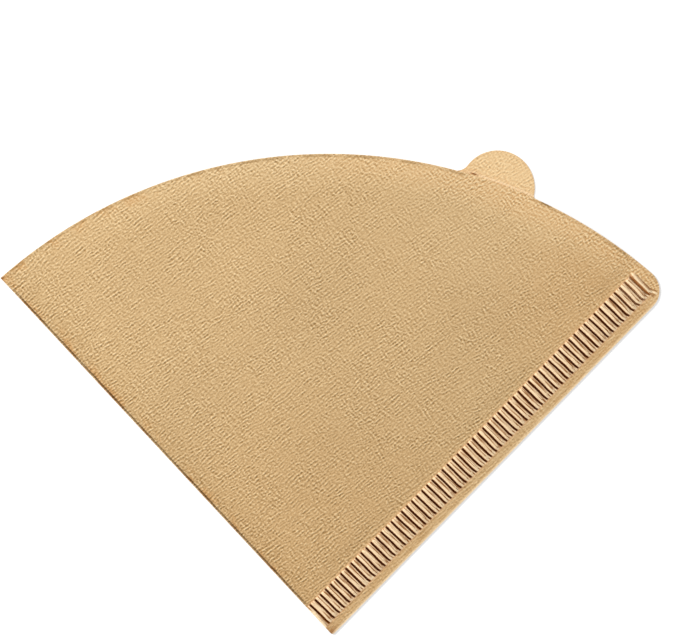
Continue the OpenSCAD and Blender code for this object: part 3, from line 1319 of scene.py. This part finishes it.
@dataclass(frozen=True)
class EdgeMarks:
    """Marks along the edges.

    The fold is worn in patches and has a dark line above the crimp, and the tip is brown. The tab is painted paler, as
    a painted highlight, with a painted highlight where the front ply's rim crosses it, a dark crease mark with painted
    shadow and painted highlights beside it at one foot, and a painted shadow in the gap past the other. The rest of the
    rim has a dark cut edge, and the seam's margin has fine lines along it and a painted highlight along its edge.
    """

    worn_fold: Fade = Fade(1.1, 0.1)
    worn_patches: Fade = Fade(0.44, 0.7, 0.35)
    worn_corner: Fade = Fade(1.3, 0.2, 0.7)
    brown_tip: Fade = Fade(3.8, 1.0, 0.35)
    dark_tip: Fade = Fade(1.7, 0.6, 0.45)
    on_tab: Fade = Fade(0.1, -0.4)
    # How much paler the tab is painted, as a painted highlight.
    tab_highlight_share: float = 0.38
    tab_edge: Fade = Fade(0.9, 0.1, 0.18)
    by_tab: Stretch = Stretch(Fade(-18.0, -16.0), Fade(3.0, 1.0))
    # Painted highlight where the front ply's rim crosses the tab.
    rim_highlight: Stripe = Stripe(-0.5, 0.44, 0.1, 0.6)
    cut_line: Stripe = Stripe(0.5, 0.5, 0.1)
    cut_patches: Fade = Fade(0.42, 0.62, 0.46)
    cut_least: float = 0.14
    # Painted shadow under the front ply's rim, past the tab's seam-side foot.
    gap_shadow_line: Stripe = Stripe(0.2, 0.5, 0.1, 0.95)
    gap_shadow_reach: Stretch = Stretch(Fade(-23.0, -20.8), Fade(-18.2, -19.2))
    stretch: Spot = Spot(2.4, -0.9, 1.1, 0.32)
    # Painted highlights beside the dark crease mark at the tab's fold-side foot.
    pucker_highlight: Spot = Spot(1.7, -1.0, 0.42, 0.4)
    # A dark mark at the tab's fold-side foot: partly a crease, partly painted shadow where the front ply's rim lifts
    # off.
    pinch_shadow: Spot = Spot(1.45, -0.45, 0.34, 0.85)
    margin_lines: Strokes = Strokes(46.4, 4.0, 0.42, 2.0, 0.5)
    margin_reach: Fade = Fade(0.2, -0.4)
    margin_pale: float = 1.2
    # Painted highlight along the seam edge.
    seam_edge_highlight: Fade = Fade(0.7, 0.05, 0.75)
    fold_line: Stripe = Stripe(0.25, 0.34, 0.08)
    fold_line_share: Slope = Slope(0.33, 0.72)
    above_seam: Fade = Fade(-1.5, 1.5)
    below_rim: Fade = Fade(1.5, 9.0)

    def colour(self, at: PaperPlace, inks: PaperInks, colour: Socket, warm: Value) -> Socket:
        """Paints the marks, with their painted highlights and shadows, over the paper.

        Args:
            at: The place on the sheet.
            inks: The colours.
            colour: The paper's colour.
            warm: Noise in small patches.

        Returns:
            The colour with its edges.
        """
        worn = self.worn_patches.on(warm).most(self.worn_corner.on(at.from_rim)) * self.worn_fold.on(at.from_fold)
        tip = self.brown_tip.on(at.from_tip) + self.dark_tip.on(at.from_tip)
        on_tab, by_tab = self.on_tab.on(at.from_rim), self.by_tab.on(at.past_pinch)
        cut = self.cut_line.on(at.from_rim) * (1.0 - by_tab) * (self.cut_patches.on(warm) + self.cut_least)
        # Painted shadow under the front ply's rim, past the tab's seam-side foot.
        gap = self.gap_shadow_line.on(at.from_rim) * self.gap_shadow_reach.on(at.past_pinch)
        lines = (self.margin_lines.value(at.shader, at.object) - MIDDLE) * self.margin_reach.on(at.past_margin)
        fold_reach = self.above_seam.on(at.past_seam) * self.below_rim.on(at.from_rim)
        coats = [
            (inks.brown_wear_and_shade, worn.most(tip)),
            # The tab painted paler: a painted highlight.
            (inks.tab, on_tab * self.tab_highlight_share),
            (inks.tint, on_tab * self.tab_edge.on(at.in_tab)),
            # Painted highlight where the front ply's rim crosses the tab.
            (inks.pale_strand_and_highlight, self.rim_highlight.on(at.from_rim) * by_tab),
            (inks.shade_and_fleck, cut.most(gap)),
            (inks.pale_strand_and_highlight, lines.over() * self.margin_pale),
            (inks.brown_wear_and_shade, lines.under()),
            # Painted highlight along the seam edge.
            (inks.pale_strand_and_highlight, self.seam_edge_highlight.on(at.inset)),
            (inks.tint, self.stretch.on(at)),
            # Painted highlights beside the dark crease mark at the tab's fold-side foot.
            (inks.pale_strand_and_highlight, self.pucker_highlight.on(at)),
            # The dark mark there: partly a crease, partly painted shadow where the front ply's rim lifts off.
            (inks.brown_wear_and_shade, self.pinch_shadow.on(at)),
            (inks.fold_line, self.fold_line.on(at.from_fold) * fold_reach * self.fold_line_share.on(warm)),
        ]
        return at.shader.paint(colour, coats)


@dataclass(frozen=True)
class CrimpMarks:
    """The crimp's ribs: dark wavering grooves of painted shading, a raised lip and a second strand with painted
    highlights on each rib, a sunk middle line with painted shading, and fine streaks.

    The grooves hook at their outer ends, most of all on the last ribs, whose grooves are softer and browner. The first
    rib has a painted highlight along the fold that cuts it and painted shading in the dip beside it, and the last one
    has a long bent lip with a painted highlight, with painted shading and a dark line of painted shading on either
    side. Places across a rib are in half rib widths from its middle, and grooves are measured in millimetres from their
    own middle.
    """

    strands: Strokes = Strokes(136.4, 4.4, 0.24, 1.0, 0.5)
    strand_range: Fade = Fade(0.34, 0.66)
    row_side: Fade = Fade(0.15, -0.4)
    row_end: Fade = Fade(0.75, 0.45)
    waver: float = 0.3
    hook: float = 0.16
    last_hook: Fade = Fade(-14.0, -3.0, 0.26)
    hook_reach: Fade = Fade(1.3, -0.2)
    soft_ribs: float = 5.0
    # Painted shading in the grooves.
    shaded_groove: Fade = Fade(0.3, 0.21)
    groove_share: float = 0.97
    groove_loss: Slope = Slope(0.42, -1.5)
    # Painted shading along the grooves' sides, partly the pressed paper's own browner colour.
    groove_edge_shading: Fade = Fade(0.385, 0.24)
    groove_edge_share: float = 0.9
    groove_edge_loss: Slope = Slope(0.3, -1.6)
    crest_share: Slope = Slope(0.62, 0.3)
    # A raised lip with a painted highlight.
    lip: Stretch = Stretch(Fade(-1.06, -0.74), Fade(0.15, -0.2))
    lip_highlight_share: Slope = Slope(0.93, 0.3)
    lip_fray: float = 0.8
    lip_height: float = 0.3
    strand_waver: float = 1.6
    strand_fray: float = 0.25
    # A second strand with a painted highlight.
    second: Stripe = Stripe(0.8, 0.46, 0.16)
    second_follow: float = 0.45
    second_highlight_share: Slope = Slope(0.78, 0.4)
    # A sunk middle line with painted shading.
    line: Stripe = Stripe(0.2, 0.22, 0.06)
    line_shading_share: Slope = Slope(0.36, 0.4)
    line_depth: float = 0.25
    lip_smooth: float = 0.68
    streaks_pale: float = 2.0
    streaks_dark: float = 1.6
    streaks_height: float = 0.3
    # Painted highlight along the fold on the first rib, and painted shading in the dip beside it.
    first_highlight_band: Fade = Fade(0.6, 0.25)
    first_highlight_reach: Fade = Fade(9.2, 7.5)
    first_hollow_shading: Fade = Fade(0.3, 0.7)
    first_hollow_reach: Fade = Fade(8.0, 4.5, 0.5)
    # The last rib: a long bent lip with a painted highlight, with painted shading and a dark line of painted shading on
    # either side.
    last_reach: Stretch = Stretch(Fade(1.2, 1.9), Fade(10.5, 9.7))
    last_bend_out: Fade = Fade(3.6, 1.3, 0.75)
    last_bend_in: Fade = Fade(6.5, 10.0, 0.25)
    last_shade: Fade = Fade(-0.4, -0.9, 0.55)
    last_line_shading: Stripe = Stripe(0.85, 0.5, 0.1)
    last_line_shading_reach: Fade = Fade(11.0, 5.0, 0.8)
    last_lip_highlight: Stretch = Stretch(Fade(-0.55, -0.3), Fade(0.36, 0.1))

    def colour(
        self, at: PaperPlace, inks: PaperInks, colour: Socket, pressed: Value, wander: Value, fibres: Value
    ) -> tuple[Socket, Value]:
        """Paints the ribs over the paper, each by its number and by the place across it.

        Args:
            at: The place on the sheet.
            inks: The colours.
            colour: The paper's colour.
            pressed: How much the crimp has pressed the paper.
            wander: Noise in broad patches, about zero, which the grooves and strands waver by.
            fibres: The fibres, about zero.

        Returns:
            The colour with the crimp, and the height of its lips, lines and streaks.
        """
        shader, s = at.shader, at.sizes
        end = s.rib_count - 1
        hook = self.last_hook.on(at.past_last) + self.hook
        bent = self.hook_reach.on(at.past_margin) * hook + wander * self.waver
        rib = (at.along - s.rib_start - bent) / s.rib_pitch
        number = rib.nearest()
        off = (rib - number) * s.rib_pitch
        gap, across = s.rib_pitch / 2 - abs(off), off / (s.rib_w / 2)
        luck = shader.value("ShaderNodeTexWhiteNoise", 0, settings={"noise_dimensions": "1D"}, inputs={"W": number})
        row = self.row_side.on(at.past_ribs) * self.row_end.on(at.past_last)
        soft = number.step(end - self.soft_ribs, end)
        first, last = number.same(0) * row, number.same(end)
        strand = wander * self.strand_waver + fibres * self.strand_fray
        # The lip and the second strand get painted highlights, and the middle line painted shading; the lip and the
        # line are also raised and sunk in the bump.
        lip = self.lip.on(across) * row * (1.0 - last)
        line = self.line.on(across - strand) * row
        second = self.second.on(across - strand * self.second_follow) * row
        streaks = self.strand_range.on(self.strands.value(shader, at.object)) - MIDDLE
        streaks = streaks * row * (1.0 - lip * self.lip_smooth)
        # Grooves: painted shading, browner along their sides, partly the pressed paper's own colour.
        pressed_brown_and_shade = self.groove_edge_shading.on(gap) * row * (self.groove_edge_share - soft * self.groove_edge_loss.on(fibres))
        groove = self.shaded_groove.on(gap) * row * (self.groove_share - soft * self.groove_loss.on(fibres))
        # First rib: painted highlight by the fold, and painted shading in the dip beside it.
        first_highlight = self.first_highlight_band.on(at.from_fold) * self.first_highlight_reach.on(at.inset)
        hollow_shading = self.first_hollow_shading.on(at.from_fold) * self.first_hollow_reach.on(at.inset)
        # Last rib: a long bent lip with a painted highlight, and painted shading and a dark painted shading line on
        # either side.
        tail = across - self.last_bend_out.on(at.inset) - self.last_bend_in.on(at.inset)
        last = last * self.last_reach.on(at.inset)
        coats = [
            (inks.crest, pressed * self.crest_share.on(luck)),
            (inks.pale_strand_and_highlight, second * self.second_highlight_share.on(luck)),
            (inks.pale_strand_and_highlight, lip * (self.lip_highlight_share.on(luck) + fibres * self.lip_fray)),
            (inks.brown_wear_and_shade, line * self.line_shading_share.on(luck)),
            (inks.pale_strand_and_highlight, streaks.over() * self.streaks_pale),
            (inks.brown_wear_and_shade, streaks.under() * self.streaks_dark),
            (inks.pressed_brown_and_shade, pressed_brown_and_shade),
            (inks.groove, groove),
            (inks.pale_strand_and_highlight, first * first_highlight),
            (inks.brown_wear_and_shade, first * hollow_shading),
            (inks.brown_wear_and_shade, last * self.last_shade.on(tail)),
            (inks.brown_wear_and_shade, last * self.last_line_shading.on(tail) * self.last_line_shading_reach.on(at.inset)),
            (inks.pale_strand_and_highlight, last * self.last_lip_highlight.on(tail)),
        ]
        height = lip * self.lip_height - line * self.line_depth + streaks * self.streaks_height
        return shader.paint(colour, coats), height


@dataclass(frozen=True)
class CrepePaper:
    """Unbleached crepe paper, with its wrinkles, fibres, edges and crimp, and painted highlights and shading on them.
    """

    name: str = "crepe_paper"
    inks: PaperInks = PaperInks()
    creping: Creping = Creping()
    ground: PaperGround = PaperGround()
    edges: EdgeMarks = EdgeMarks()
    crimp: CrimpMarks = CrimpMarks()
    patches: Strokes = Strokes(40.0, 7.0, 5.0, 2.0, 0.5)
    warmth: Strokes = Strokes(-45.0, 6.0, 3.6, 2.0, 0.6)
    fibres: Strokes = Strokes(24.0, 0.6, 0.2, 3.0, 0.6, 0.5)
    press_side: Fade = Fade(0.5, -0.3)
    press_end: Fade = Fade(0.6, -0.1)
    relief_depth: float = 0.09
    fibre_height: float = 0.12
    roughness: float = 0.9
    fibre_roughness: float = 0.12
    press_polish: float = 0.14
    specular: float = 0.03

    def material(self, plan: SheetPlan) -> bpy.types.Material:
        """Makes the paper's material on Object coordinates.

        Args:
            plan: The sheet's plan, which gives the places of the crimp, the fold and the rim.

        Returns:
            The material.
        """
        material = bpy.data.materials.new(self.name)
        material.use_nodes = True
        shader = Shader(material.node_tree)
        at = PaperPlace(shader, plan)
        layers = (self.patches, self.warmth, self.fibres)
        patches, warm, fibres = (layer.value(shader, at.object) for layer in layers)
        fibres = fibres - MIDDLE
        pressed = self.press_side.on(at.past_ribs) * self.press_end.on(at.past_last)
        crepe = self.creping.height(at, pressed, patches)
        colour = self.ground.colour(at, self.inks, crepe, fibres, warm)
        colour = self.edges.colour(at, self.inks, colour, warm)
        colour, lips = self.crimp.colour(at, self.inks, colour, pressed, patches - MIDDLE, fibres)
        height = crepe + fibres * self.fibre_height + lips
        relief = {"Strength": 1.0, "Distance": self.relief_depth * MM, "Height": height}
        bump = shader.node("ShaderNodeBump", inputs=relief)
        surface = {
            "Base Color": colour,
            "Roughness": fibres * self.fibre_roughness - pressed * self.press_polish + self.roughness,
            "Specular IOR Level": self.specular,
            "Normal": bump.outputs[0],
        }
        paper = shader.node("ShaderNodeBsdfPrincipled", inputs=surface)
        shader.node("ShaderNodeOutputMaterial", inputs={"Surface": paper.outputs[0]})
        return material


def seen_rays(shader: Shader) -> Value:
    """A value of 1 for rays that the camera sees, straight, off a gloss or through glass, and of 0 for others.

    Args:
        shader: The shader to add it to.

    Returns:
        The value.
    """
    rays = shader.node("ShaderNodeLightPath").outputs
    kinds = ("Camera", "Glossy", "Transmission")
    straight, glossy, through = (Value(shader, rays[f"Is {kind} Ray"]) for kind in kinds)
    return straight.most(glossy).most(through)


@dataclass(frozen=True)
class FloorFinish:
    """A studio floor that is lifted to white where it is seen, with the sheet's shadow, and plain grey to the light."""

    name: str = "studio_floor"
    seen: Colour = (0.56, 0.56, 0.56)
    bounced: Colour = (0.6, 0.6, 0.6)
    lift: float = 0.55
    roughness: float = 1.0

    def material(self) -> bpy.types.Material:
        """Makes the floor's material.

        Returns:
            The material.
        """
        material = bpy.data.materials.new(self.name)
        material.use_nodes = True
        shader = Shader(material.node_tree)
        seen = seen_rays(shader)
        colour = shader.blend(self.bounced, self.seen, seen)
        glow = shader.blend((0.0, 0.0, 0.0), (self.lift,) * 3, seen)
        surface = shader.node(
            "ShaderNodeBsdfPrincipled",
            inputs={
                "Base Color": colour,
                "Roughness": self.roughness,
                "Specular IOR Level": 0.0,
                "Emission Color": glow,
                "Emission Strength": 1.0,
            },
        )
        shader.node("ShaderNodeOutputMaterial", inputs={"Surface": surface.outputs[0]})
        return material


@dataclass(frozen=True)
class Studio:
    """Floor, soft light and camera. Lengths are in metres, and angles in degrees in the picture."""

    floor_half: float = 4.0
    floor_level: float = -0.00004
    floor: FloorFinish = FloorFinish()
    key_bearing: float = 150.0
    key_height: float = 38.0
    key_distance: float = 1.6
    key_size: float = 0.7
    key_power: float = 28.6
    sky: float = 0.36
    view_centre: tuple[float, float] = (0.00255, 0.01904)
    view_width: float = 0.17671
    view_roll: float = 0.69
    lens: float = 200.0
    sensor: float = 36.0

    def build(self) -> None:
        """Makes the floor, the lights, the world and the camera."""
        self._make_floor()
        self._make_key()
        self._make_sky()
        self._make_camera()

    def _make_floor(self) -> None:
        """Lays a flat floor just under the sheet."""
        h, z = self.floor_half, self.floor_level
        mesh = bpy.data.meshes.new("floor")
        mesh.from_pydata([(-h, -h, z), (h, -h, z), (h, h, z), (-h, h, z)], [], [(0, 1, 2, 3)])
        floor = placed("floor", mesh)
        mesh.materials.append(self.floor.material())

    def _make_key(self) -> None:
        """Hangs one wide soft light to the picture's left, aimed at the middle of the view."""
        light = bpy.data.lights.new("key", "AREA")
        light.shape = "DISK"
        light.size = self.key_size
        light.energy = self.key_power
        key = placed("key", light)
        bearing, height = math.radians(self.key_bearing + self.view_roll), math.radians(self.key_height)
        level = self.key_distance * math.cos(height)
        key.location = (
            self.view_centre[0] + level * math.cos(bearing),
            self.view_centre[1] + level * math.sin(bearing),
            self.key_distance * math.sin(height),
        )
        key.rotation_euler = (0.0, math.pi / 2 - height, bearing)

    def _make_sky(self) -> None:
        """Lights the scene evenly from all round, and shows as white behind the floor."""
        world = bpy.data.worlds.new("studio")
        bpy.context.scene.world = world
        world.use_nodes = True
        shader = Shader(world.node_tree)
        seen = seen_rays(shader)
        colour = shader.blend((self.sky,) * 3, (1.0, 1.0, 1.0), seen)
        sky = shader.node("ShaderNodeBackground", inputs={"Color": colour, "Strength": 1.0})
        shader.node("ShaderNodeOutputWorld", inputs={"Surface": sky.outputs[0]})

    def _make_camera(self) -> None:
        """Looks straight down on the sheet from where the view's width fills the picture's."""
        camera = bpy.data.cameras.new("camera")
        camera.lens = self.lens
        camera.sensor_width = self.sensor
        camera.sensor_fit = "HORIZONTAL" if PICTURE[0] >= PICTURE[1] else "VERTICAL"
        eye = placed("camera", camera)
        eye.location = (*self.view_centre, self.view_width * self.lens / self.sensor)
        eye.rotation_euler = (0.0, 0.0, math.radians(self.view_roll))
        bpy.context.scene.camera = eye


def main() -> None:
    """Builds the studio and the sheet, and reports each piece."""
    logging.basicConfig(level=logging.INFO, format="%(name)s: %(message)s")
    bpy.context.scene.view_settings.view_transform = "Standard"
    Studio().build()
    filter_sheet = FilterSheet()
    sheet = filter_sheet.build()
    filter_sheet.dress(sheet, CrepePaper())
    sheet.data.calc_loop_triangles()
    log.info("%s: %d triangles", sheet.name, len(sheet.data.loop_triangles))


if __name__ == "__main__":
    main()
